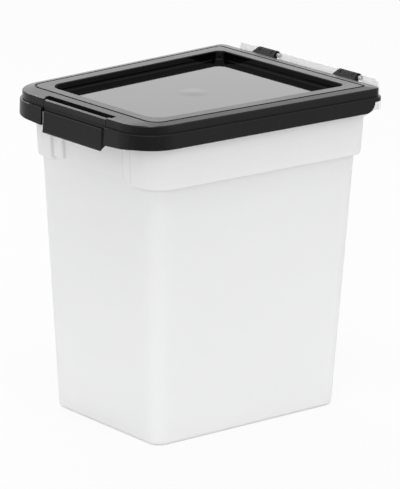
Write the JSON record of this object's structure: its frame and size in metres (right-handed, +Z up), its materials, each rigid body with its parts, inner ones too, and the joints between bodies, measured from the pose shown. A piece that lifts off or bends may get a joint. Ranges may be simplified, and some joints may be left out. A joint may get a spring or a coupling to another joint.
{
  "type": "dog food storage container",
  "caption": "Tall tapered translucent food bin with a hinged black lid, a sunken gloss panel and a snap latch at the front.",
  "frame": {"origin": "on the floor, under the centre of the container's overall box", "axes": "+Z up, -Y towards the front with the latch, +Y towards the hinge, +X across, to the right of someone who faces the latch"},
  "size_m": [0.2386, 0.2989, 0.3236],
  "materials": {
    "frosted_plastic": "translucent, lightly frosted, moulded",
    "black_plastic": "satin, with a gloss panel",
    "seal_rubber": "soft, matte"
  },
  "bodies": {
    "container": {"container_body": "frosted_plastic"},
    "lid": {"lid": "black_plastic", "lid_seal": "seal_rubber", "hinge_clip_left": "black_plastic", "hinge_clip_right": "black_plastic"},
    "latch": {"front_latch": "black_plastic"}
  },
  "joints": [
    {"name": "lid_hinge", "type": "hinge", "parent": "container", "child": "lid", "pos_m": [0, 0.14516, 0.3192], "axis": [-1, 0, 0], "range_deg": [0, 110]},
    {"name": "latch_hinge", "type": "hinge", "parent": "lid", "child": "latch", "pos_m": [0, -0.14066, 0.3132], "axis": [-1, 0, 0], "range_deg": [0, 70]}
  ]
}
